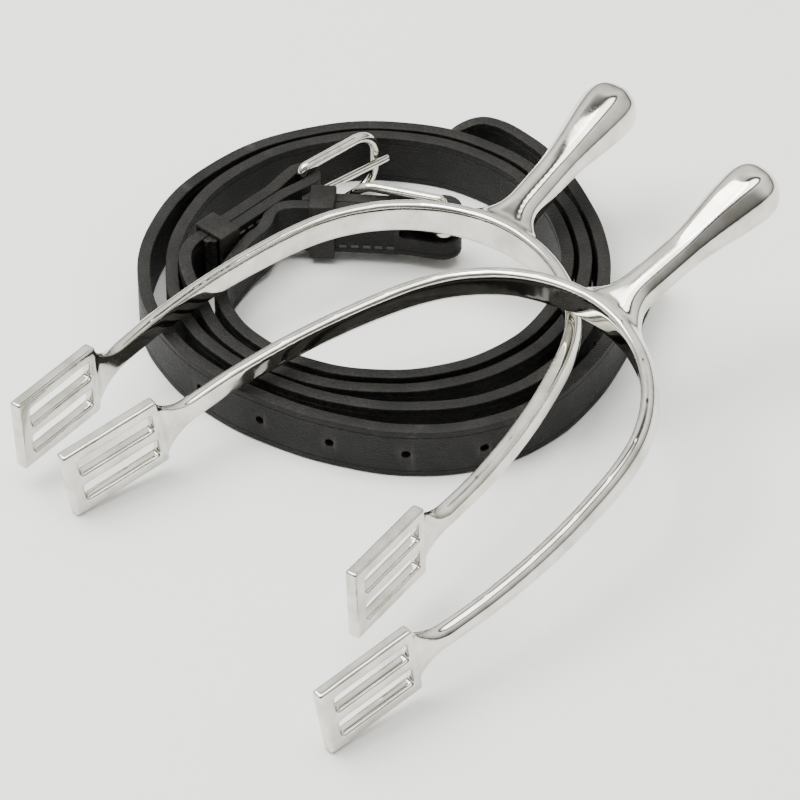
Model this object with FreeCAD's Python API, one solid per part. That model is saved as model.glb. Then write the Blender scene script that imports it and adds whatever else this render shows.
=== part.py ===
import FreeCAD, Part

import math
import os

Vec = FreeCAD.Vector
Turn = FreeCAD.Rotation
UP = Vec(0, 0, 1)

# A pair of spurs lying on their two coiled straps, in millimetres, +Z up.
# Each spur is one casting: heel band, two slotted strap tabs and a round-ended shank.
# Each strap stands on edge and carries a wire buckle, its tongue, a keeper and stitching.

# Spur casting
heel_radius = 37.3          # middle of the band's thickness, round the heel
heel_sweep = 72.0           # degrees of heel arc each side of the shank
arm_reach = 85.2            # heel to the inner end of a tab
tab_spacing = 85.0          # between the middles of the two tabs
arm_drop = 1.0              # tabs sit this much lower than the heel
band_thickness = 3.6
band_height_heel = 8.6
band_height_arm = 5.0
tab_length = 23.5
tab_height = 17.4
tab_thickness = 2.8
tab_edge = 0.5              # rounding of every edge of a tab
tab_splay = 1.8             # degrees that each tab opens outwards
tab_rail = 2.9              # upright and middle bars of the slots
tab_end_bar = 3.2
slot_length = 18.4
gusset_depth = 1.2          # how far an arm's spread end runs into its tab
gusset_curve = 2.2          # power that makes the spread end hollow
gusset_inset = 0.3          # its top and bottom stay this far inside the tab's edges
gusset_thin = 0.94          # its thickness inside the tab, in tab thicknesses
shank_length = 40.6         # heel to the centre of the ball
shank_rise = 11.0           # degrees above the band
shank_width = 7.9
shank_height = 7.5
waist_length = 20.0         # the shank starts to swell this far from the heel
ball_width = 12.6
ball_height = 12.0
ball_length = 6.0           # centre of the ball to its tip
root_width = 27.0           # where the shank flares into the band
root_height = 6.4
root_length = 11.0

# Strap leather
strap_width = 12.0
leather = 2.8
tip_length = 9.0
hole_radius = 0.98
hole_pitch = 16.0
hole_first = 71.0           # tip to the nearest hole
hole_count = 5
lap_length = 31.0           # turned-back end that holds the buckle
lap_gap = 0.14
lap_skive = 5.0             # the lap is pared thin over its last stretch
lap_end_share = 0.35        # of the leather's thickness left at its end
pocket_length = 9.0         # the two layers part over this length before the bar
slot_back = 9.8             # the tongue's slot runs this far back from the bar
ramp_length = 26.0
tip_corner = 2.2            # height of the blunt nose of the tip, each way from its middle

# Buckle
wire_radius = 1.15
bar_clearance = 0.08
side_clearance = 0.35       # strap edge to side rail
buckle_length = 21.2        # bar to the middle of the bow
bow_radius = 6.0
tongue_radius = 0.85
tongue_clearance = 0.08
tongue_over = 1.6           # tongue past the bow
tongue_slot_clearance = 0.5

# Keeper and stitching
keeper_width = 5.6
keeper_wall = 1.1
keeper_gap = 0.12
keeper_place = 23.6         # bar to the keeper's near edge
stitch_radius = 0.32
stitch_pitch = 2.6
stitch_margin = 1.9
stitch_first = 11.4         # bar to the first stitch
stitch_count = 5

# Where things lie, on the surface z = 0
coil_centre = Vec(-4.0, 28.0, 0)
outer_route = [
    (8, 59.4), (-5, 54.6), (-18, 52.8), (-35, 52.6), (-50, 53.3), (-65, 53.1), (-82, 51.2),
    (-100, 48.4), (-118, 47.0), (-136, 47.4), (-155, 49.0), (-175, 50.7), (-200, 51.6),
    (-225, 52.0), (-250, 52.0), (-275, 51.5), (-300, 50.0), (-322, 47.6), (-342, 45.3),
    (-362, 43.4), (-385, 41.7), (-407, 40.2), (-430, 38.7), (-452, 37.7), (-475, 37.9),
    (-498, 38.7), (-520, 39.2), (-540, 39.5),
]
inner_route = [
    (74, 55.8), (66, 58.3), (55, 56.6), (43, 53.5), (30, 50.6), (15, 48.8), (-2, 47.7),
    (-20, 47.1), (-40, 47.2), (-60, 46.5), (-80, 44.2), (-100, 42.3), (-120, 41.6),
    (-140, 42.5), (-160, 43.9), (-180, 44.9), (-205, 46.3), (-230, 47.8), (-255, 48.3),
    (-277, 47.8), (-300, 46.2), (-320, 43.9), (-340, 41.6), (-360, 39.6), (-383, 37.5),
    (-406, 35.7), (-430, 34.1), (-452, 33.2), (-475, 33.3), (-498, 34.2), (-520, 34.9),
    (-537, 34.2), (-551, 31.7), (-566, 29.0), (-580, 27.8),
]
outer_bar = Vec(-21.4, 58.5, 0)
outer_end_heading = 47.0    # direction of the strap at its buckle
outer_frame_heading = 42.0
inner_bar = Vec(9.5, 47.4, 0)
inner_end_heading = -4.0
inner_frame_heading = 163.0
rear_heel = Vec(21.6, 33.0, 18.7)
rear_turn = 232.9
rear_pitch = 1.4
rear_roll = 1.2
front_heel = Vec(43.0, -4.9, 27.13)
front_turn = 217.8
front_pitch = 9.33
front_roll = 0.0

# Worked out from the sizes above
frame_half = strap_width / 2 + side_clearance + wire_radius
bar_height = frame_half + wire_radius
strap_lift = bar_height - strap_width / 2
layer_offset = wire_radius + bar_clearance + leather / 2
slot_height = (tab_height - 3 * tab_rail) / 2
spread_height = tab_height - gusset_inset


def polar(angle, radius):
    a = math.radians(angle)
    return coil_centre + Vec(math.cos(a), math.sin(a), 0) * radius


def direction(angle):
    a = math.radians(angle)
    return Vec(math.cos(a), math.sin(a), 0)


def left_of(along):
    return UP.cross(along)


def polygon(points):
    return Part.makePolygon(points + [points[0]])


def prism(points, vector):
    return Part.Face(polygon(points)).extrude(vector)


def one_solid(shape):
    solids = shape.Solids
    assert len(solids) == 1, len(solids)
    return solids[0]


# ---- spur ----

def band_centre(side):
    """Heel arc and arm arc of one side, from the heel to the tab."""
    sweep = math.radians(heel_sweep)
    start = Vec(heel_radius * (1 - math.cos(sweep)), heel_radius * math.sin(sweep), 0)
    reach = Vec(arm_reach, tab_spacing / 2, 0) - start
    first = math.pi / 2 - sweep
    last = 2 * math.atan2(reach.y, reach.x) - first
    radius = reach.x / (math.sin(first) - math.sin(last))
    stations = []
    heel_steps = 6
    for i in range(heel_steps + 1):
        a = sweep * i / heel_steps
        point = Vec(heel_radius * (1 - math.cos(a)), heel_radius * math.sin(a), 0)
        stations.append((point, math.pi / 2 - a))
    arm_steps = 7
    for i in range(1, arm_steps + 1):
        a = first + (last - first) * i / arm_steps
        point = start + Vec(radius * (math.sin(first) - math.sin(a)),
                            radius * (math.cos(a) - math.cos(first)), 0)
        stations.append((point, a))
    return [(Vec(p.x, p.y * side, 0), a * side) for p, a in stations]


def band_section(point, heading, side, spread=1.0, thin=1.0):
    """Flat inside, faceted outside, taller at the heel than at the arm's end."""
    share = min(1.0, point.x / arm_reach)
    height = band_height_heel + (band_height_arm - band_height_heel) * math.sqrt(share)
    outward = Vec(-math.sin(heading), math.cos(heading), 0) * side
    middle = point - UP * (arm_drop * share)
    half_t = band_thickness / 2 * thin
    height = height * spread
    outline = [
        (-half_t, -0.42), (-half_t, 0.42), (-half_t * 0.7, 0.5), (half_t * 0.3, 0.5),
        (half_t, 0.24), (half_t, -0.24), (half_t * 0.3, -0.5), (-half_t * 0.7, -0.5),
    ]
    points = [middle + outward * a + UP * (b * height) for a, b in outline]
    return polygon(points)


def make_band():
    stations = [(p, a, -1) for p, a in reversed(band_centre(-1)[:-1])]
    stations += [(p, a, 1) for p, a in band_centre(1)[1:-1]]
    sections = [band_section(p, a, s) for p, a, s in stations]
    return Part.makeLoft(sections, True, False)


def make_gusset(side):
    """Spreads the end of an arm to the full height of its tab, with hollow top and bottom edges."""
    neck, heading = band_centre(side)[-2]
    splay = math.radians(tab_splay) * side
    tab_root = Vec(arm_reach + gusset_depth, side * tab_spacing / 2, 0)
    sections = [band_section(neck, heading, side)]
    steps = 4
    for i in range(1, steps + 1):
        share = i / steps
        spread = 1 + (spread_height / band_height_arm - 1) * share ** gusset_curve
        thin = 1 + (tab_thickness / band_thickness * gusset_thin - 1) * share
        turn = heading + (splay - heading) * share
        sections.append(band_section(neck + (tab_root - neck) * share, turn, side, spread, thin))
    return Part.makeLoft(sections, True, False)


def make_tab(side):
    """Plate with two lengthwise slots for the strap and rounded edges."""
    half = tab_height / 2
    plate = Part.makeBox(tab_length, tab_thickness, tab_height, Vec(0, -tab_thickness / 2, -half))
    for level in (0, 1):
        foot = Vec(tab_length - tab_end_bar - slot_length, -tab_thickness,
                   tab_rail - half + level * (slot_height + tab_rail))
        plate = plate.cut(Part.makeBox(slot_length, 2 * tab_thickness, slot_height, foot))
    plate = plate.makeFillet(tab_edge, plate.Edges)
    plate.rotate(Vec(0, 0, 0), UP, side * tab_splay)
    plate.translate(Vec(arm_reach, side * tab_spacing / 2, -arm_drop))
    return plate


def octagon(centre, axis, width, height):
    """Eight-sided section square to the axis, with a flat facet on top."""
    across = Vec(0, 1, 0)
    rise = across.cross(axis)
    ring = ((0.5, 0.22), (0.25, 0.5), (-0.25, 0.5), (-0.5, 0.22),
            (-0.5, -0.22), (-0.25, -0.5), (0.25, -0.5), (0.5, -0.22))
    return polygon([centre + across * (a * width) + rise * (b * height) for a, b in ring])


def make_shank():
    """Flares out of the band, narrows to a waist and swells to a ball with a domed end."""
    a = math.radians(shank_rise)
    axis = Vec(-math.cos(a), 0, math.sin(a))
    inside = band_thickness * 0.28
    sections = [octagon(Vec(inside, 0, 0), Vec(-1, 0, 0), root_width, root_height)]
    for along in (1.5, 3.0, 5.0, 7.5, 11.0, 16.0, 21.0, 25.0, 28.5, 31.5, 34.5, 37.0):
        flare = max(0.0, 1 - (along + inside) / root_length) ** 2.4
        swell = max(0.0, (along - waist_length) / (shank_length - waist_length))
        swell = 3 * swell ** 2 - 2 * swell ** 3
        width = shank_width + (root_width - shank_width) * flare + (ball_width - shank_width) * swell
        height = shank_height + (root_height - shank_height) * flare + (ball_height - shank_height) * swell
        sections.append(octagon(axis * along, axis, width, height))
    for angle in (0, 18, 34, 48, 60, 70, 79):
        dome = math.radians(angle)
        centre = axis * (shank_length + ball_length * math.sin(dome))
        size = math.cos(dome) ** 0.9
        sections.append(octagon(centre, axis, ball_width * size, ball_height * size))
    return Part.makeLoft(sections, True, False)


def make_spur():
    spur = make_band()
    for side in (-1, 1):
        spur = spur.fuse(make_gusset(side))
        spur = spur.fuse(make_tab(side))
    spur = spur.fuse(make_shank())
    return one_solid(spur)


def place_spur(spur, heel, turn, pitch, roll):
    placed = spur.copy()
    spin = Turn(UP, turn).multiply(Turn(Vec(0, 1, 0), pitch)).multiply(Turn(Vec(1, 0, 0), roll))
    placed.Placement = FreeCAD.Placement(heel, spin)
    return placed


# ---- strap ----

def end_frame(bar, heading, lap_side):
    """Axes of a strap's buckle end: along the strap, and towards the layer that comes from the coil."""
    along = direction(heading)
    return along, left_of(along) * -lap_side


def route_points(route, bar, heading, lap_side):
    """Centre line of the strap from its tip to the start of the straight buckle end."""
    along, main = end_frame(bar, heading, lap_side)
    join = bar - along * lap_length + main * ((leather + lap_gap) / 2)
    return [polar(a, r) for a, r in route] + [join], along


def spline(points, first, last):
    curve = Part.BSplineCurve()
    curve.interpolate(Points=points, InitialTangent=first, FinalTangent=last, Scale=False)
    return curve


def ribbon_faces(points, along):
    """The strap seen from above, cut where the ramp to the buckle begins."""
    middle = spline(points, (points[1] - points[0]).normalize(), along)
    total = middle.length()
    ramp_at = middle.parameterAtDistance(total - ramp_length)
    count = 3 * len(points)

    def at(parameter):
        tangent = middle.tangent(parameter)[0]
        return middle.value(parameter), tangent, left_of(tangent)

    def edges(start, end, steps):
        values = [start + (end - start) * i / steps for i in range(steps + 1)]
        stations = [at(v) for v in values]
        sides = []
        for way in (1, -1):
            row = [p + n * (way * leather / 2) for p, t, n in stations]
            sides.append(spline(row, stations[0][1], stations[-1][1]).toShape())
        return sides, stations

    return middle, ramp_at, at, edges, count


def coil_part(middle, ramp_at, edges, count):
    sides, stations = edges(middle.FirstParameter, ramp_at, count)
    first, last = stations[0], stations[-1]
    half = leather / 2
    start = Part.makeLine(first[0] + first[2] * half, first[0] - first[2] * half)
    end = Part.makeLine(last[0] + last[2] * half, last[0] - last[2] * half)
    wire = Part.Wire(Part.__sortEdges__([sides[0], end, sides[1], start]))
    return Part.Face(wire).extrude(UP * strap_width)


def ramp_part(middle, ramp_at, at):
    """Rises from the surface to the height of the buckle bar."""
    sections = []
    steps = 6
    for i in range(steps + 1):
        share = i / steps
        point, tangent, normal = at(ramp_at + (middle.LastParameter - ramp_at) * share)
        lift = strap_lift * (3 * share ** 2 - 2 * share ** 3)
        half = normal * (leather / 2)
        low = point + UP * lift
        high = low + UP * strap_width
        sections.append(polygon([low - half, low + half, high + half, high - half]))
    return Part.makeLoft(sections, True, False)


def end_part(bar, along, main):
    """Straight buckle end: the strap goes round the bar and lies back on itself."""
    base = bar + UP * strap_lift

    def at(u, v):
        return base + along * u + main * v

    outer = layer_offset + leather / 2
    inner = layer_offset - leather / 2
    gap = lap_gap / 2
    skin = gap + leather
    body = [
        Part.makeLine(at(-lap_length, gap), at(-lap_length, skin)),
        Part.makeLine(at(-lap_length, skin), at(-pocket_length, skin)),
        Part.makeLine(at(-pocket_length, skin), at(0, outer)),
        Part.Arc(at(0, outer), at(outer, 0), at(0, -outer)).toShape(),
        Part.makeLine(at(0, -outer), at(-pocket_length, -skin)),
        Part.makeLine(at(-pocket_length, -skin), at(lap_skive - lap_length, -skin)),
        Part.makeLine(at(lap_skive - lap_length, -skin), at(-lap_length, -gap - leather * lap_end_share)),
        Part.makeLine(at(-lap_length, -gap - leather * lap_end_share), at(-lap_length, -gap)),
        Part.makeLine(at(-lap_length, -gap), at(-pocket_length, -gap)),
        Part.makeLine(at(-pocket_length, -gap), at(0, -inner)),
        Part.Arc(at(0, -inner), at(inner, 0), at(0, inner)).toShape(),
        Part.makeLine(at(0, inner), at(-pocket_length, gap)),
        Part.makeLine(at(-pocket_length, gap), at(-lap_length, gap)),
    ]
    end = Part.Face(Part.Wire(body)).extrude(UP * strap_width)
    half = tongue_radius + tongue_slot_clearance
    slot = prism([at(-slot_back, -2 * outer), at(2 * outer, -2 * outer),
                  at(2 * outer, 2 * outer), at(-slot_back, 2 * outer)], UP * (2 * half))
    slot.translate(UP * (strap_width / 2 - half))
    return end.cut(slot)


def tip_cutters(point, along, normal):
    """What is cut away to leave a rounded point on the tip."""
    deep = normal * (2 * leather)
    mid = strap_width / 2
    cutters = []
    for way in (-1, 1):
        def at(u, v):
            return point - normal * leather + along * u + UP * (mid + way * v)
        edge = [
            Part.makeLine(at(-1, tip_corner), at(0, tip_corner)),
            Part.Arc(at(0, tip_corner), at(tip_length * 0.36, mid * 0.8), at(tip_length, mid)).toShape(),
            Part.makeLine(at(tip_length, mid), at(tip_length, mid + 1)),
            Part.makeLine(at(tip_length, mid + 1), at(-1, mid + 1)),
            Part.makeLine(at(-1, mid + 1), at(-1, tip_corner)),
        ]
        cutters.append(Part.Face(Part.Wire(edge)).extrude(deep))
    return cutters


def make_strap(route, bar, heading, lap_side):
    points, along = route_points(route, bar, heading, lap_side)
    _, main = end_frame(bar, heading, lap_side)
    middle, ramp_at, at, edges, count = ribbon_faces(points, along)
    strap = coil_part(middle, ramp_at, edges, count)
    tip, tip_along, tip_normal = at(middle.FirstParameter)
    cutters = tip_cutters(tip, tip_along, tip_normal)
    for i in range(hole_count):
        place = middle.parameterAtDistance(hole_first + i * hole_pitch)
        point, tangent, normal = at(place)
        foot = point - normal * leather + UP * (strap_width / 2)
        cutters.append(Part.makeCylinder(hole_radius, 2 * leather, foot, normal))
    strap = strap.cut(cutters)
    strap = strap.fuse([ramp_part(middle, ramp_at, at), end_part(bar, along, main)])
    print("strap length", round(middle.length() + lap_length * 2, 1))
    return one_solid(strap)


# ---- buckle ----

def make_frame(bar, heading):
    """D-shaped wire frame: straight bar, two side rails and a rounded bow."""
    along = direction(heading)
    base = bar + UP * bar_height

    def at(u, z):
        return base + along * u + UP * z

    half = frame_half
    corner = wire_radius + side_clearance * 0.8
    lean = math.cos(math.radians(45))
    straight = buckle_length - bow_radius
    bow_lean = bow_radius * (1 - lean)
    path = Part.Wire([
        Part.makeLine(at(0, -half + corner), at(0, half - corner)),
        Part.Arc(at(0, half - corner), at(corner * (1 - lean), half - corner * (1 - lean)),
                 at(corner, half)).toShape(),
        Part.makeLine(at(corner, half), at(straight, half)),
        Part.Arc(at(straight, half), at(buckle_length - bow_lean, half - bow_lean),
                 at(buckle_length, half - bow_radius)).toShape(),
        Part.makeLine(at(buckle_length, half - bow_radius), at(buckle_length, bow_radius - half)),
        Part.Arc(at(buckle_length, bow_radius - half), at(buckle_length - bow_lean, bow_lean - half),
                 at(straight, -half)).toShape(),
        Part.makeLine(at(straight, -half), at(corner, -half)),
        Part.Arc(at(corner, -half), at(corner * (1 - lean), corner * (1 - lean) - half),
                 at(0, corner - half)).toShape(),
    ])
    profile = Part.Wire(Part.makeCircle(wire_radius, at(0, corner - half), UP))
    return one_solid(path.makePipeShell([profile], True, False))


def make_tongue(bar, heading, face):
    """Pin that turns on the bar and rests on the bow, on the side that face gives."""
    along = direction(heading)
    side = left_of(along) * face
    base = bar + UP * bar_height
    seat = wire_radius + tongue_clearance + tongue_radius
    eye_outer = wire_radius + bar_clearance + 2 * tongue_radius
    eye = Part.makeCylinder(eye_outer, 2 * tongue_radius, base - UP * tongue_radius, UP)
    start = base + along * (wire_radius + tongue_radius) + side * (seat * 0.55)
    reach = base + along * (buckle_length + tongue_over) + side * (seat + 0.22)
    pin = Part.makeCylinder(tongue_radius, (reach - start).Length, start, reach - start)
    nose = Part.makeSphere(tongue_radius, reach)
    bore = Part.makeCylinder(wire_radius + bar_clearance, 4 * tongue_radius,
                             base - UP * (2 * tongue_radius), UP)
    return one_solid(eye.fuse([pin, nose]).cut(bore))


# ---- keeper and stitching ----

def make_keeper(bar, heading, lap_side):
    along, main = end_frame(bar, heading, lap_side)
    inner_v = leather + lap_gap / 2 + keeper_gap
    base = bar - along * keeper_place + UP * strap_lift

    def ring(grow):
        v = inner_v + grow
        low = -keeper_gap - grow
        high = strap_width + keeper_gap + grow
        return prism([base - main * v + UP * low, base + main * v + UP * low,
                      base + main * v + UP * high, base - main * v + UP * high], along * -keeper_width)

    loop = ring(keeper_wall)
    edges = [e for e in loop.Edges if abs(e.tangentAt(e.FirstParameter).dot(along)) > 0.99]
    loop = loop.makeFillet(keeper_wall * 0.8, edges)
    return one_solid(loop.cut(ring(0)))


def stitch_places(bar, heading, lap_side):
    """Feet of the stitches: one row along each edge, between the bar and the keeper."""
    along, main = end_frame(bar, heading, lap_side)
    places = []
    for row in (stitch_margin, strap_width - stitch_margin):
        for i in range(stitch_count):
            u = stitch_first + i * stitch_pitch
            places.append(bar - along * u + UP * (strap_lift + row))
    return along, main, places


def make_stitching(bar, heading, lap_side):
    """Waxed thread through both layers, one short bar of thread per stitch on each face."""
    along, main, places = stitch_places(bar, heading, lap_side)
    half = leather + lap_gap / 2
    threads = []
    for place in places:
        post = Part.makeCylinder(stitch_radius, 2 * half, place - main * half, main)
        for way in (-1, 1):
            foot = place + main * (way * half) - along * (stitch_pitch * 0.3)
            post = post.fuse(Part.makeCylinder(stitch_radius, stitch_pitch * 0.6, foot, along))
        threads.append(one_solid(post))
    return Part.makeCompound(threads)


def main():
    spur = make_spur()
    outer_lap, inner_lap = -1, 1
    outer_tongue, inner_tongue = -1, -1
    parts = {
        "spur_rear": place_spur(spur, rear_heel, rear_turn, rear_pitch, rear_roll),
        "spur_front": place_spur(spur, front_heel, front_turn, front_pitch, front_roll),
    }
    for name, route, bar, heading, lap, frame_heading, face in (
            ("outer", outer_route, outer_bar, outer_end_heading, outer_lap,
             outer_frame_heading, outer_tongue),
            ("inner", inner_route, inner_bar, inner_end_heading, inner_lap,
             inner_frame_heading, inner_tongue)):
        stitching = make_stitching(bar, heading, lap)
        parts["strap_" + name] = one_solid(make_strap(route, bar, heading, lap).cut(stitching))
        parts["stitching_" + name] = stitching
        parts["keeper_" + name] = make_keeper(bar, heading, lap)
        parts["buckle_frame_" + name] = make_frame(bar, frame_heading)
        parts["buckle_tongue_" + name] = make_tongue(bar, frame_heading, face)

    box = Part.makeCompound(list(parts.values())).optimalBoundingBox(False, False)
    shift = Vec(-box.Center.x, -box.Center.y, -box.ZMin)
    print("shift", [round(v, 3) for v in shift], "box",
          [round(v, 2) for v in (box.XLength, box.YLength, box.ZLength)])
    os.makedirs("parts", exist_ok=True)
    for name, shape in parts.items():
        shape.translate(shift)
        shape.exportStep("parts/" + name + ".step")
        print(name, "valid", shape.isValid(), "volume", round(shape.Volume, 1))


main()
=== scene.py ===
import math
import bpy
from mathutils import Matrix, Vector


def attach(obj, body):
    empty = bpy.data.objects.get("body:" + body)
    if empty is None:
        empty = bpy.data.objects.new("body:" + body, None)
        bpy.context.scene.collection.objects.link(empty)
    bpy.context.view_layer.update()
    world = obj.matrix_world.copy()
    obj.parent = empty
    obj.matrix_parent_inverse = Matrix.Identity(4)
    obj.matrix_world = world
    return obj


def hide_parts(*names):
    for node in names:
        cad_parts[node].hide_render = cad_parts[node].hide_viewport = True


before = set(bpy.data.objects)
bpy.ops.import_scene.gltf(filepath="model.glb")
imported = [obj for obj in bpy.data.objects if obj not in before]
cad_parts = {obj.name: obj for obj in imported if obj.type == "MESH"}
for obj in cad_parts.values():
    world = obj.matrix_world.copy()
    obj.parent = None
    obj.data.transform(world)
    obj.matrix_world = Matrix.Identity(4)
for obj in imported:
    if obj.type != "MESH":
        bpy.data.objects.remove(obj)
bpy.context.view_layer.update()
print("frame loaded")

camera = {
    "target": (0.0, 0.0117, 0.0),
    "distance": 0.9647,
    "elevation": 41.09,
    "lens": 205.2,
    "sensor": 36,
    "nearest": 0.05,
}


def addCamera(place):
    rise = math.radians(place["elevation"])
    away = place["distance"] * Vector((0, -math.cos(rise), math.sin(rise)))
    bpy.ops.object.camera_add(location=Vector(place["target"]) + away, rotation=(math.pi / 2 - rise, 0, 0))
    eye = bpy.context.object
    eye.data.lens = place["lens"]
    eye.data.sensor_width = place["sensor"]
    eye.data.clip_start = place["nearest"]
    bpy.context.scene.camera = eye


addCamera(camera)
print("camera set")

mm = 0.001


def onlySelect(piece):
    bpy.ops.object.select_all(action="DESELECT")
    piece.select_set(True)
    bpy.context.view_layer.objects.active = piece


def applyModifier(piece, kind, **settings):
    onlySelect(piece)
    added = piece.modifiers.new(kind.lower(), kind)
    for key, value in settings.items():
        setattr(added, key, value)
    bpy.ops.object.modifier_apply(modifier=added.name)


def selectParts(piece, kind, test):
    # leaves edit mode on, with the vertices or faces that pass the test selected
    onlySelect(piece)
    bpy.ops.object.mode_set(mode="EDIT")
    bpy.ops.mesh.select_mode(type=kind)
    bpy.ops.mesh.select_all(action="DESELECT")
    bpy.ops.object.mode_set(mode="OBJECT")
    parts = piece.data.vertices if kind == "VERT" else piece.data.polygons
    for part in parts:
        part.select = test(part)
    bpy.ops.object.mode_set(mode="EDIT")


def selectVerts(piece, test):
    selectParts(piece, "VERT", lambda vert: test(vert.co))


def selectFaces(piece, test):
    selectParts(piece, "FACE", test)


def leaveEdit():
    bpy.ops.object.mode_set(mode="OBJECT")


def freeze(piece):
    onlySelect(piece)
    bpy.ops.object.transform_apply(location=True, rotation=True, scale=True)


def joinPieces(pieces, name):
    bpy.ops.object.select_all(action="DESELECT")
    for piece in pieces:
        piece.select_set(True)
    bpy.context.view_layer.objects.active = pieces[0]
    bpy.ops.object.join()
    pieces[0].name = name
    return pieces[0]


def smoothShade(piece, angle=35):
    onlySelect(piece)
    bpy.ops.object.shade_smooth_by_angle(angle=math.radians(angle))


def giveTo(piece, body, node, slotName, *materials):
    piece.data.materials.clear()
    for material in materials:
        piece.data.materials.append(material)
    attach(piece, body)
    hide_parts(node)


def newMaterial(name):
    made = bpy.data.materials.new(name)
    made.use_nodes = True
    nodes = made.node_tree.nodes
    return made, nodes, made.node_tree.links, nodes["Principled BSDF"]


def noiseTexture(nodes, links, scale, detail=3.0, roughness=0.5):
    place = nodes.new("ShaderNodeTexCoord")
    noise = nodes.new("ShaderNodeTexNoise")
    noise.inputs["Scale"].default_value = scale
    noise.inputs["Detail"].default_value = detail
    noise.inputs["Roughness"].default_value = roughness
    links.new(place.outputs["Object"], noise.inputs["Vector"])
    return noise.outputs["Fac"]


def valueRange(nodes, links, value, low, high, start=0.0, end=1.0):
    ramp = nodes.new("ShaderNodeMapRange")
    ramp.inputs["From Min"].default_value = start
    ramp.inputs["From Max"].default_value = end
    ramp.inputs["To Min"].default_value = low
    ramp.inputs["To Max"].default_value = high
    links.new(value, ramp.inputs["Value"])
    return ramp.outputs["Result"]


def twoColours(nodes, links, mask, first, second):
    mix = nodes.new("ShaderNodeMix")
    mix.data_type = "RGBA"
    mix.inputs["A"].default_value = (*first, 1)
    mix.inputs["B"].default_value = (*second, 1)
    links.new(mask, mix.inputs["Factor"])
    return mix.outputs["Result"]


def bumpFrom(nodes, links, height, strength, distance, under=None):
    bump = nodes.new("ShaderNodeBump")
    bump.inputs["Strength"].default_value = strength
    bump.inputs["Distance"].default_value = distance
    links.new(height, bump.inputs["Height"])
    if under:
        links.new(under, bump.inputs["Normal"])
    return bump.outputs["Normal"]


def clampedShare(nodes, links, away, reach):
    share = nodes.new("ShaderNodeMath")
    share.operation = "DIVIDE"
    share.use_clamp = True
    links.new(away.outputs["Value"], share.inputs[0])
    links.new(reach, share.inputs[1])
    return share.outputs["Value"]


def wearAndShadeMasksGroup():
    # masks of the worn outer edges, and of the hollows where the steel's colour is darkened as painted shade
    flat = 0.5
    group = bpy.data.node_groups.new("wearAndShadeMasks", "ShaderNodeTree")
    group.interface.new_socket("Reach", in_out="INPUT", socket_type="NodeSocketFloat")
    group.interface.new_socket("Edge", in_out="OUTPUT", socket_type="NodeSocketFloat")
    group.interface.new_socket("PaintedShade", in_out="OUTPUT", socket_type="NodeSocketFloat")
    nodes = group.nodes
    links = group.links
    reach = nodes.new("NodeGroupInput").outputs["Reach"]
    result = nodes.new("NodeGroupOutput")
    pointiness = nodes.new("ShaderNodeNewGeometry").outputs["Pointiness"]
    above = nodes.new("ShaderNodeMath")
    above.operation = "SUBTRACT"
    links.new(pointiness, above.inputs[0])
    above.inputs[1].default_value = flat
    links.new(clampedShare(nodes, links, above, reach), result.inputs["Edge"])
    # the hollow mask, which darkens the steel as painted shade in slots and inner corners
    below = nodes.new("ShaderNodeMath")
    below.operation = "SUBTRACT"
    below.inputs[0].default_value = flat
    links.new(pointiness, below.inputs[1])
    links.new(clampedShare(nodes, links, below, reach), result.inputs["PaintedShade"])
    return group


wearAndShadeMasks = wearAndShadeMasksGroup()


def placeGroup(nodes, group, **values):
    placed = nodes.new("ShaderNodeGroup")
    placed.node_tree = group
    for name, value in values.items():
        placed.inputs[name].default_value = value
    return placed.outputs


def fadeTo(nodes, links, mask, first, second):
    # a colour output, and a plain colour that it turns into where the mask is full
    mix = nodes.new("ShaderNodeMix")
    mix.data_type = "RGBA"
    links.new(first, mix.inputs["A"])
    mix.inputs["B"].default_value = (*second, 1)
    links.new(mask, mix.inputs["Factor"])
    return mix.outputs["Result"]


# ranges are low, high, and the values of the texture between which they run
polish = {
    "bright": (0.74, 0.725, 0.67),
    "warm": (0.50, 0.485, 0.42),
    # painted shade: the dark colour that concave spots of the steel fade to, in place of the shade in slots
    # and inner corners
    "hollow": (0.12, 0.115, 0.10),
    "hollowReach": 0.035,
    "smear": 160.0,
    "brushMarks": 900.0,
    "roughLow": 0.04,
    "roughHigh": 0.14,
    "tintRange": (0.0, 1.0, 0.4, 0.75),
    "roughRange": (0.35, 0.7),
    "markStrength": 0.01,
    "markDepth": 0.00005,
}


def polishedSteel(name, look):
    made, nodes, links, shader = newMaterial(name)
    shader.inputs["Metallic"].default_value = 1.0
    smear = noiseTexture(nodes, links, look["smear"], 4.0)
    tint = valueRange(nodes, links, smear, *look["tintRange"])
    metal = twoColours(nodes, links, tint, look["bright"], look["warm"])
    masks = placeGroup(nodes, wearAndShadeMasks, Reach=look["hollowReach"])
    # painted shade: concave spots fade to the dark colour, standing in for shade in slots and inner corners
    colour = fadeTo(nodes, links, masks["PaintedShade"], metal, look["hollow"])
    links.new(colour, shader.inputs["Base Color"])
    rough = valueRange(nodes, links, smear, look["roughLow"], look["roughHigh"], *look["roughRange"])
    links.new(rough, shader.inputs["Roughness"])
    marks = noiseTexture(nodes, links, look["brushMarks"], 3.0, 0.7)
    brushed = bumpFrom(nodes, links, marks, look["markStrength"], look["markDepth"])
    links.new(brushed, shader.inputs["Normal"])
    return made


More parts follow.
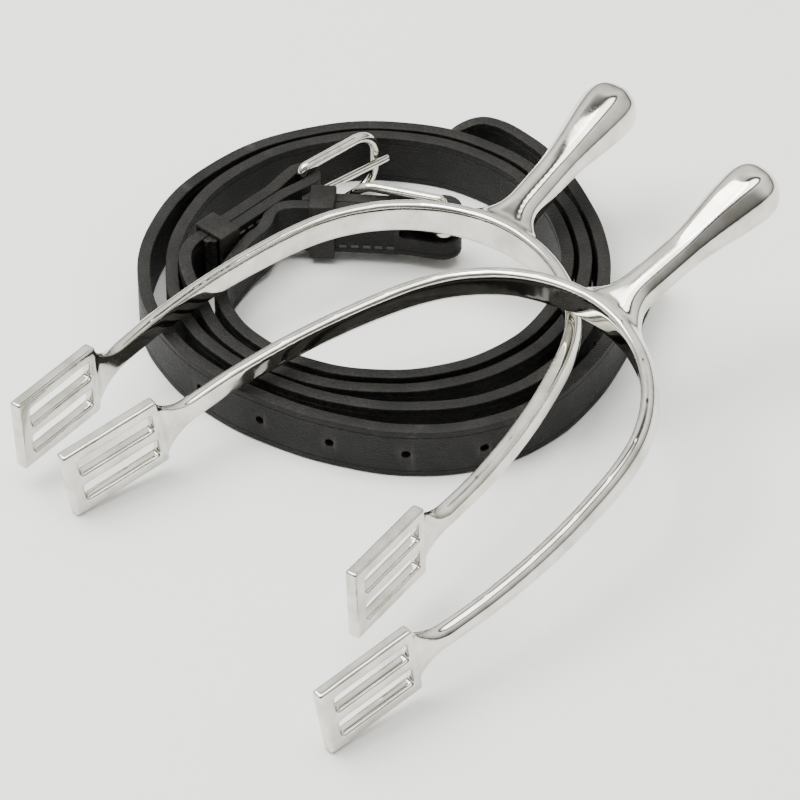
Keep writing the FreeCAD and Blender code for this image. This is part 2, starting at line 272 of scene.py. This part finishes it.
hide = {
    "black": (0.0014, 0.0014, 0.0012),
    "worn": (0.0185, 0.0182, 0.0168),
    "edge": (0.0036, 0.0034, 0.0030),
    "edgeWorn": (0.027, 0.026, 0.023),
    "rubbed": (0.044, 0.042, 0.037),
    "grain": 1300.0,
    "fibre": 1500.0,
    "cloud": 110.0,
    "cloudWear": (0.25, 1.0, 0.35, 0.7),
    "fibreWear": (0.0, 1.0, 0.42, 0.66),
    "edgeReach": 0.25,
    "edgeWear": (0.2, 1.0, 0.4, 0.6),
    "smoother": 0.07,
    "rougher": 0.12,
    "roughRange": (0.3, 0.7),
    "poreRange": (0, 1, 0.0, 0.25),
    "poreStrength": 0.6,
    "poreDepth": 0.00010,
    "fibreStrength": 0.45,
    "fibreDepth": 0.00014,
    "specular": 0.22,
}


def strapLeather(name, base, worn, roughness):
    made, nodes, links, shader = newMaterial(name)
    cloud = noiseTexture(nodes, links, hide["cloud"], 5.0, 0.6)
    fibre = noiseTexture(nodes, links, hide["fibre"], 3.0, 0.7)
    place = nodes.new("ShaderNodeTexCoord")
    grain = nodes.new("ShaderNodeTexVoronoi")
    grain.feature = "DISTANCE_TO_EDGE"
    grain.inputs["Scale"].default_value = hide["grain"]
    links.new(place.outputs["Object"], grain.inputs["Vector"])
    speck = nodes.new("ShaderNodeMath")
    speck.operation = "MULTIPLY"
    links.new(valueRange(nodes, links, cloud, *hide["cloudWear"]), speck.inputs[0])
    links.new(valueRange(nodes, links, fibre, *hide["fibreWear"]), speck.inputs[1])
    dyed = twoColours(nodes, links, speck.outputs["Value"], base, worn)
    masks = placeGroup(nodes, wearAndShadeMasks, Reach=hide["edgeReach"])
    rubbed = nodes.new("ShaderNodeMath")
    rubbed.operation = "MULTIPLY"
    links.new(masks["Edge"], rubbed.inputs[0])
    links.new(valueRange(nodes, links, cloud, *hide["edgeWear"]), rubbed.inputs[1])
    colour = fadeTo(nodes, links, rubbed.outputs["Value"], dyed, hide["rubbed"])
    links.new(colour, shader.inputs["Base Color"])
    rough = valueRange(nodes, links, fibre, roughness - hide["smoother"], roughness + hide["rougher"],
                       *hide["roughRange"])
    links.new(rough, shader.inputs["Roughness"])
    poreHeight = valueRange(nodes, links, grain.outputs["Distance"], *hide["poreRange"])
    pores = bumpFrom(nodes, links, poreHeight, hide["poreStrength"], hide["poreDepth"])
    surface = bumpFrom(nodes, links, fibre, hide["fibreStrength"], hide["fibreDepth"], pores)
    links.new(surface, shader.inputs["Normal"])
    shader.inputs["Specular IOR Level"].default_value = hide["specular"]
    return made


threadLook = {
    "dark": (0.02, 0.019, 0.018),
    "light": (0.06, 0.056, 0.05),
    "twist": 3000.0,
    "roughness": 0.45,
    "bumpStrength": 0.5,
    "bumpDepth": 0.0001,
}


def waxedThread(look):
    made, nodes, links, shader = newMaterial("waxedThread")
    twist = noiseTexture(nodes, links, look["twist"], 2.0)
    links.new(twoColours(nodes, links, twist, look["dark"], look["light"]), shader.inputs["Base Color"])
    shader.inputs["Roughness"].default_value = look["roughness"]
    twisted = bumpFrom(nodes, links, twist, look["bumpStrength"], look["bumpDepth"])
    links.new(twisted, shader.inputs["Normal"])
    return made


spurSteel = polishedSteel("spurSteel", polish)
bucklePolish = {**polish, "roughLow": 0.06, "roughHigh": 0.18, "smear": 400.0}
buckleSteel = polishedSteel("buckleSteel", bucklePolish)
leather = strapLeather("strapLeather", hide["black"], hide["worn"], 0.55)
keeperLeather = strapLeather("keeperLeather", hide["black"], hide["edgeWorn"], 0.5)
leatherEdge = strapLeather("strapEdge", hide["edge"], hide["edgeWorn"], 0.5)
thread = waxedThread(threadLook)
print("materials made")

spurFinish = {
    "edgeWidth": 0.0007,   # how far each ridge is rounded before the remeshing
    "edgeAngle": 20,
    "merge": 0.000002,     # points nearer than this are one
    "voxel": 0.00032,      # remeshing step
    "softening": 6,        # smoothing passes over all of it
    "bandSoftening": 22,   # more of them on the band and shank, as the polishing wheel gives
    "bandEnd": 79 * mm,    # the tabs, from here on, keep their edges
    "ballSoftening": 44,   # more again on the ball, whose facets fade into a dome
    "ballFrom": -20 * mm,
    "bandFade": 6 * mm,    # over this length the extra smoothing comes in
    "ballFade": 14 * mm,
}
# where the heel of each spur is, in metres, and how it is turned, in degrees
spurPlaces = {
    "spur_rear": {"heel": Vector((0.02157, 0.04466, 0.0187)), "turn": 232.9, "pitch": 1.4, "roll": 1.2},
    "spur_front": {"heel": Vector((0.04297, 0.00676, 0.02713)), "turn": 217.8, "pitch": 9.33, "roll": 0},
}


def spurFrame(place):
    # x from the heel to the tabs, z up through the band
    turn = Matrix.Rotation(math.radians(place["turn"]), 4, "Z")
    pitch = Matrix.Rotation(math.radians(place["pitch"]), 4, "Y")
    roll = Matrix.Rotation(math.radians(place["roll"]), 4, "X")
    return Matrix.Translation(place["heel"]) @ turn @ pitch @ roll


def markAlong(spur, name, full, none):
    # weights from how far a point lies along the spur
    group = spur.vertex_groups.new(name=name)
    for vert in spur.data.vertices:
        share = (vert.co.x - none) / (full - none)
        if share > 0:
            group.add([vert.index], min(1.0, share), "REPLACE")


def polishedSpur(node, body):
    # the casting as it leaves the polishing wheel: every edge a little rounded
    finish = spurFinish
    onlySelect(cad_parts[node])
    bpy.ops.object.duplicate()
    spur = bpy.context.object
    spur.name = node + "_polished"
    placed = spurFrame(spurPlaces[node])
    spur.matrix_world = placed.inverted()
    freeze(spur)
    bpy.ops.object.mode_set(mode="EDIT")
    bpy.ops.mesh.select_all(action="SELECT")
    bpy.ops.mesh.remove_doubles(threshold=finish["merge"])
    leaveEdit()
    applyModifier(spur, "BEVEL", width=finish["edgeWidth"], segments=3, limit_method="ANGLE",
                  angle_limit=math.radians(finish["edgeAngle"]), use_clamp_overlap=False)
    applyModifier(spur, "REMESH", mode="VOXEL", voxel_size=finish["voxel"], adaptivity=0.0)
    applyModifier(spur, "SMOOTH", factor=0.5, iterations=finish["softening"])
    markAlong(spur, "band", finish["bandEnd"] - finish["bandFade"], finish["bandEnd"])
    markAlong(spur, "ball", finish["ballFrom"] - finish["ballFade"], finish["ballFrom"])
    applyModifier(spur, "SMOOTH", factor=0.5, iterations=finish["bandSoftening"], vertex_group="band")
    applyModifier(spur, "SMOOTH", factor=0.5, iterations=finish["ballSoftening"], vertex_group="ball")
    spur.vertex_groups.clear()
    spur.matrix_world = placed
    freeze(spur)
    bpy.ops.object.shade_smooth()
    giveTo(spur, body, node, "spur_steel", spurSteel)
    print(node, "has", len(spur.data.polygons), "faces")


polishedSpur("spur_rear", "rear_spur")
polishedSpur("spur_front", "front_spur")
print("spurs made")

coilCentre = Vector((-0.0040, 0.0397, 0))
strapCut = {
    "width": 12 * mm,
    "thickness": 2.8 * mm,
    "step": 0.8 * mm,
    "tipLength": 9 * mm,
    "tipNose": 2.2 * mm,
    "holeRadius": 0.98 * mm,
    "holeFirst": 71 * mm,
    "holePitch": 16 * mm,
    "holeCount": 5,
    "creaseFromEdge": 1.5 * mm,
    "creaseDepth": 0.22 * mm,
    "lapLength": 31 * mm,
    "lapGap": 0.14 * mm,
    "pocketLength": 9 * mm,
    "turnRadius": 2.63 * mm,
    "lift": 2.65 * mm,
    "rampLength": 26 * mm,
    "slotBack": 9.8 * mm,
    "slotHalf": 1.35 * mm,
    "rows": 12,
    "rowShares": (0, 0.55, 0.85, 1, 1.15, 1.7),   # where the rows near an edge go, with the crease at 1
    "tipPower": 0.8,
    "paring": ((0.2, 0.45), (1.0, 0.62), (2.0, 0.78), (3.0, 0.9)),   # mm from the lap's end, thickness left
    "edgeRound": 0.45 * mm,
    "edgeAngle": 50,
    "sameRow": 0.01 * mm,
    "sameColumn": 0.1 * mm,
    "sameCrease": 0.02 * mm,
    "holeSides": 24,
    "punchDepth": 6 * mm,
    "edgeFacing": 0.45,    # faces that point this much up or down are cut edges
    "endFacing": 0.6,
    "pathSteps": 24,
}
# lengths of the path's handles: at the lap's end, its other side, where the pocket starts, and round the bar
pathHandles = {
    "lapIn": 8 * mm,
    "lap": 6 * mm,
    "lapOut": 4 * mm,
    "pocket": 2.5 * mm,
    "circle": 0.5523,
}
# routes are (angle in degrees, radius in mm) about the coil's centre, from the tip on
outerStrap = {
    "route": [
        (8, 59.4), (-5, 54.6), (-18, 52.8), (-35, 52.6), (-50, 53.3), (-65, 53.1), (-82, 51.2),
        (-100, 48.4), (-118, 47.0), (-136, 47.4), (-155, 49.0), (-175, 50.7), (-200, 51.6),
        (-225, 52.0), (-250, 52.0), (-275, 51.5), (-300, 50.0), (-322, 47.6), (-342, 45.3),
        (-362, 43.4), (-385, 41.7), (-407, 40.2), (-430, 38.7), (-452, 37.7), (-475, 37.9),
        (-498, 38.7), (-520, 39.3),
    ],
    "bar": Vector((-0.0214, 0.0702, 0)),
    "heading": 47.0,
    "mainSide": 1,
}
innerStrap = {
    "route": [
        (74, 55.8), (66, 58.3), (55, 56.6), (43, 53.5), (30, 50.6), (15, 48.8), (-2, 47.7),
        (-20, 47.1), (-40, 47.2), (-60, 46.5), (-80, 44.2), (-100, 42.3), (-120, 41.6),
        (-140, 42.5), (-160, 43.9), (-180, 44.9), (-205, 46.3), (-230, 47.8), (-255, 48.3),
        (-277, 47.8), (-300, 46.2), (-320, 43.9), (-340, 41.6), (-360, 39.6), (-383, 37.5),
        (-406, 35.7), (-430, 34.1), (-452, 33.2), (-475, 33.3), (-498, 34.2), (-520, 34.9),
        (-537, 34.2), (-551, 31.7), (-566, 29.2),
    ],
    "bar": Vector((0.0095, 0.0591, 0)),
    "heading": -4.0,
    "mainSide": -1,
}


def barFrame(spec):
    turn = math.radians(spec["heading"])
    along = Vector((math.cos(turn), math.sin(turn), 0))
    main = Vector((-along.y, along.x, 0)) * spec["mainSide"]
    return along, main


def pathPoints(spec):
    # the middle of the strap's lower edge, from the tip to the end of the turned-back lap
    cut = strapCut
    along, main = barFrame(spec)
    bar = spec["bar"]
    skin = (cut["thickness"] + cut["lapGap"]) / 2
    turn = cut["turnRadius"]
    bow = turn * pathHandles["circle"]
    lapIn = along * pathHandles["lapIn"]
    lap = along * pathHandles["lap"]
    lapOut = along * pathHandles["lapOut"]
    pocket = along * pathHandles["pocket"]
    points = []
    for angle, radius in spec["route"]:
        a = math.radians(angle)
        points.append((coilCentre + Vector((math.cos(a), math.sin(a), 0)) * radius * mm, None))
    points.append((bar - along * cut["lapLength"] + main * skin, (lapIn, lap)))
    points.append((bar - along * cut["pocketLength"] + main * skin, (lap, pocket)))
    points.append((bar + main * turn, (pocket, along * bow)))
    points.append((bar + along * turn, (main * -bow, main * -bow)))
    points.append((bar - main * turn, (along * -bow, -pocket)))
    points.append((bar - along * cut["pocketLength"] - main * skin, (-pocket, -lap)))
    points.append((bar - along * cut["lapLength"] - main * skin, (-lap, -lapOut)))
    return points


def raiseLap(points, onGround):
    # the lap stands a little off the ground, and the strap climbs a ramp up to it
    away = 0.0
    for i in range(len(points) - 1, -1, -1):
        spot = points[i][0]
        share = 1.0
        if i < onGround:
            away += (points[i + 1][0].xy - spot.xy).length
            share = max(0.0, 1 - away / strapCut["rampLength"])
        spot.z = strapCut["lift"] * (3 * share ** 2 - 2 * share ** 3)


def strapPath(name, spec):
    points = pathPoints(spec)
    raiseLap(points, len(spec["route"]))
    data = bpy.data.curves.new(name + "_path", "CURVE")
    data.dimensions = "3D"
    data.twist_mode = "Z_UP"
    data.resolution_u = strapCut["pathSteps"]
    spline = data.splines.new("BEZIER")
    spline.bezier_points.add(len(points) - 1)
    for knot, point in zip(spline.bezier_points, points):
        knot.co = point[0]
        knot.handle_left_type = knot.handle_right_type = "AUTO"
    for knot, (spot, handles) in zip(spline.bezier_points, points):
        if handles:
            knot.handle_left_type = knot.handle_right_type = "FREE"
            knot.handle_left = spot - handles[0]
            knot.handle_right = spot + handles[1]
    path = bpy.data.objects.new(name + "_path", data)
    bpy.context.collection.objects.link(path)
    bpy.context.view_layer.update()
    return path, spline.calc_length()


def setRows(strap):
    # moves the rows of points so that some of them run along the creases
    cut = strapCut
    for row, share in enumerate(cut["rowShares"]):
        fromEdge = cut["creaseFromEdge"] * share
        old = cut["width"] * row / cut["rows"]
        for level, goal in ((old, fromEdge), (cut["width"] - old, cut["width"] - fromEdge)):
            selectVerts(strap, lambda co: abs(co.z - level) < cut["sameRow"])
            bpy.ops.transform.translate(value=(0, 0, goal - level))
            leaveEdit()


def pointTip(strap, length, columns):
    cut = strapCut
    half = cut["width"] / 2
    nose = cut["tipNose"]
    column = 0
    while column * length / columns < cut["tipLength"]:
        x = column * length / columns
        widening = math.sin(math.pi / 2 * x / cut["tipLength"]) ** cut["tipPower"]
        share = (nose + (half - nose) * widening) / half
        selectVerts(strap, lambda co: abs(co.x - x) < cut["sameColumn"])
        bpy.ops.transform.resize(value=(1, 1, share), center_override=(x, 0, half))
        leaveEdit()
        column += 1


def pareLap(strap, length, mainSide):
    # thins the lap's end
    cut = strapCut
    backFace = -mainSide * cut["thickness"] / 2
    for inset, share in cut["paring"]:
        selectVerts(strap, lambda co: abs(co.x - length + inset * mm) < cut["step"] / 2)
        bpy.ops.transform.resize(value=(1, share, 1), center_override=(length, backFace, cut["width"] / 2))
        leaveEdit()


def pressCreases(strap):
    cut = strapCut
    for side in (-1, 1):
        for fromEdge in (cut["creaseFromEdge"], cut["width"] - cut["creaseFromEdge"]):
            selectVerts(strap, lambda co: abs(co.z - fromEdge) < cut["sameCrease"] and co.y * side > 0
                        and co.x > cut["tipLength"])
            bpy.ops.transform.translate(value=(0, -side * cut["creaseDepth"], 0))
            leaveEdit()


def flatStrap(name, length, mainSide):
    # the strap lying flat: x along it from the tip, z across it, y through it
    cut = strapCut
    columns = round(length / cut["step"])
    bpy.ops.object.select_all(action="DESELECT")
    bpy.ops.mesh.primitive_grid_add(x_subdivisions=columns, y_subdivisions=cut["rows"], size=1,
                                    location=(0.5, 0, 0.5), rotation=(math.pi / 2, 0, 0))
    strap = bpy.context.object
    strap.name = name
    freeze(strap)
    strap.scale = (length, 1, cut["width"])
    freeze(strap)
    setRows(strap)
    pointTip(strap, length, columns)
    applyModifier(strap, "SOLIDIFY", thickness=cut["thickness"], offset=0)
    pareLap(strap, length, mainSide)
    pressCreases(strap)
    applyModifier(strap, "BEVEL", width=cut["edgeRound"], segments=3, limit_method="ANGLE",
                  angle_limit=math.radians(cut["edgeAngle"]))
    return strap


def lengthen(cutter, x, stretch):
    # pulls the two halves of a round cutter apart into a long one
    nearly = strapCut["sameRow"]
    selectVerts(cutter, lambda co: co.x > x + nearly)
    bpy.ops.transform.translate(value=(stretch, 0, 0))
    leaveEdit()
    selectVerts(cutter, lambda co: co.x < x - nearly)
    bpy.ops.transform.translate(value=(-stretch, 0, 0))
    leaveEdit()


def punch(strap, spots):
    # spots are (x, half length, half height) of round or long holes through the strap
    cut = strapCut
    cutters = []
    for x, halfLong, halfHigh in spots:
        bpy.ops.object.select_all(action="DESELECT")
        middle = (x, 0, cut["width"] / 2)
        bpy.ops.mesh.primitive_cylinder_add(vertices=cut["holeSides"], radius=halfHigh,
                                            depth=cut["punchDepth"], location=middle,
                                            rotation=(math.pi / 2, 0, 0))
        cutter = bpy.context.object
        freeze(cutter)
        if halfLong > halfHigh:
            lengthen(cutter, x, halfLong - halfHigh)
        cutters.append(cutter)
    cutter = joinPieces(cutters, "punch")
    applyModifier(strap, "BOOLEAN", operation="DIFFERENCE", object=cutter, solver="EXACT")
    bpy.data.objects.remove(cutter)


def markEdges(strap):
    # the cut edges, top and bottom, take the second material
    onlySelect(strap)
    strap.data.materials.clear()
    strap.data.materials.append(leather)
    strap.data.materials.append(leatherEdge)
    for face in strap.data.polygons:
        isEdge = abs(face.normal.z) > strapCut["edgeFacing"] or abs(face.normal.x) > strapCut["endFacing"]
        face.material_index = 1 if isEdge else 0


def makeStrap(name, body, node, spec):
    cut = strapCut
    path, length = strapPath(name, spec)
    strap = flatStrap(name, length, spec["mainSide"])
    quarterTurn = math.pi * cut["turnRadius"] / 2
    spots = [(cut["holeFirst"] + i * cut["holePitch"], 0, cut["holeRadius"]) for i in range(cut["holeCount"])]
    spots.append((length - cut["lapLength"] - quarterTurn, cut["slotBack"] + quarterTurn, cut["slotHalf"]))
    punch(strap, spots)
    markEdges(strap)
    applyModifier(strap, "CURVE", object=path, deform_axis="POS_X")
    smoothShade(strap, 40)
    bpy.data.objects.remove(path)
    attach(strap, body)
    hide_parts(node)


makeStrap("outerStrap", "outer_strap", "strap_outer", outerStrap)
makeStrap("innerStrap", "inner_strap", "strap_inner", innerStrap)
print("straps made")

keeperCut = {
    "width": 5.6 * mm,
    "wall": 1.1 * mm,
    "gap": 0.12 * mm,
    "place": 26.4 * mm,     # from the buckle's bar back along the strap
    "edge": 0.38 * mm,
    "edgeAngle": 50,
}


def makeKeeper(name, body, node, spec):
    # a loop of leather round the strap and its lap
    cut = keeperCut
    along = barFrame(spec)[0]
    bothLayers = 2 * strapCut["thickness"] + strapCut["lapGap"]
    inner = Vector((cut["width"], bothLayers + 2 * cut["gap"], strapCut["width"] + 2 * cut["gap"]))
    outer = inner + Vector((0, 2 * cut["wall"], 2 * cut["wall"]))
    bpy.ops.object.select_all(action="DESELECT")
    bpy.ops.mesh.primitive_cube_add(size=1)
    keeper = bpy.context.object
    keeper.name = name
    keeper.scale = outer
    freeze(keeper)
    selectFaces(keeper, lambda face: abs(face.normal.x) > 0.9)
    bpy.ops.mesh.inset(thickness=cut["wall"], use_individual=True)
    bpy.ops.mesh.bridge_edge_loops()
    bpy.ops.mesh.select_all(action="SELECT")
    bpy.ops.mesh.normals_make_consistent(inside=False)
    leaveEdit()
    applyModifier(keeper, "BEVEL", width=cut["edge"], segments=3, limit_method="ANGLE",
                  angle_limit=math.radians(cut["edgeAngle"]))
    spot = spec["bar"] - along * cut["place"]
    place = Matrix.Translation((spot.x, spot.y, strapCut["lift"] + strapCut["width"] / 2))
    keeper.matrix_world = place @ Matrix.Rotation(math.radians(spec["heading"]), 4, "Z")
    freeze(keeper)
    smoothShade(keeper)
    giveTo(keeper, body, node, "strap_leather", keeperLeather)


makeKeeper("outerKeeper", "outer_strap", "keeper_outer", outerStrap)
makeKeeper("innerKeeper", "inner_strap", "keeper_inner", innerStrap)
print("keepers made")


def dressNodes(start, material):
    # the CAD pieces that are shown as they are
    for name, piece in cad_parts.items():
        if name.startswith(start):
            piece.data.materials.clear()
            piece.data.materials.append(material)


dressNodes("buckle", buckleSteel)
dressNodes("stitch", thread)
print("buckles made")

studio = {
    "floorSize": 6.0,
    "floorDrop": 0.0002,
    "floorColour": (0.96, 0.96, 0.955),
    "floorRoughness": 0.9,
    "skyLight": 2.25,
    "skyHeight": [(0.0, 0.7), (0.06, 0.7), (0.10, 0.06), (0.17, 0.06), (0.24, 0.30), (0.55, 0.60),
                  (0.80, 0.75), (0.86, 0.05), (0.90, 0.05), (0.95, 2.9)],
    "skyBlue": 0.98,
    "skyFront": [(0.0, 0.25), (0.18, 0.25), (0.34, 0.95), (1.0, 1.0)],
    "keySpot": (-0.7, 0.1, 1.3),
    "keySize": (1.1, 0.8),
    "keyPower": 26,
}


def addFloor():
    bpy.ops.object.select_all(action="DESELECT")
    bpy.ops.mesh.primitive_plane_add(size=studio["floorSize"], location=(0, 0, -studio["floorDrop"]))
    floor = bpy.context.object
    floor.name = "floor"
    made, nodes, links, shader = newMaterial("paleFloor")
    shader.inputs["Base Color"].default_value = (*studio["floorColour"], 1)
    shader.inputs["Roughness"].default_value = studio["floorRoughness"]
    floor.data.materials.append(made)


def skyTone(level):
    return (level, level, level * studio["skyBlue"], 1)


def skyRamp(nodes, stops):
    ramp = nodes.new("ShaderNodeValToRGB")
    marks = ramp.color_ramp.elements
    marks[0].position = stops[0][0]
    marks[0].color = skyTone(stops[0][1])
    marks[1].position = stops[-1][0]
    marks[1].color = skyTone(stops[-1][1])
    for spot, level in stops[1:-1]:
        marks.new(spot).color = skyTone(level)
    return ramp


def addSky():
    # a pale tent with narrow dark gaps for the steel to mirror, and darker behind the camera
    world = bpy.data.worlds.new("studioSky")
    bpy.context.scene.world = world
    world.use_nodes = True
    nodes = world.node_tree.nodes
    links = world.node_tree.links
    back = nodes["Background"]
    place = nodes.new("ShaderNodeTexCoord")
    parts = nodes.new("ShaderNodeSeparateXYZ")
    links.new(place.outputs["Generated"], parts.inputs["Vector"])
    height = skyRamp(nodes, studio["skyHeight"])
    links.new(parts.outputs["Z"], height.inputs["Fac"])
    depth = nodes.new("ShaderNodeMapRange")
    depth.inputs["From Min"].default_value = -1.0
    links.new(parts.outputs["Y"], depth.inputs["Value"])
    front = skyRamp(nodes, studio["skyFront"])
    links.new(depth.outputs["Result"], front.inputs["Fac"])
    mix = nodes.new("ShaderNodeMix")
    mix.data_type = "RGBA"
    mix.blend_type = "MULTIPLY"
    mix.inputs["Factor"].default_value = 1.0
    links.new(height.outputs["Color"], mix.inputs["A"])
    links.new(front.outputs["Color"], mix.inputs["B"])
    links.new(mix.outputs["Result"], back.inputs["Color"])
    back.inputs["Strength"].default_value = studio["skyLight"]


def addSoftbox(name, spot, size, power):
    bpy.ops.object.light_add(type="AREA", location=spot)
    lamp = bpy.context.object
    lamp.name = name
    lamp.data.shape = "RECTANGLE"
    lamp.data.size, lamp.data.size_y = size
    lamp.data.energy = power
    aim = Vector((0, 0, 0)) - Vector(spot)
    lamp.rotation_euler = aim.to_track_quat("-Z", "Y").to_euler()


addFloor()
addSky()
addSoftbox("keyLight", studio["keySpot"], studio["keySize"], studio["keyPower"])
print("studio lit")
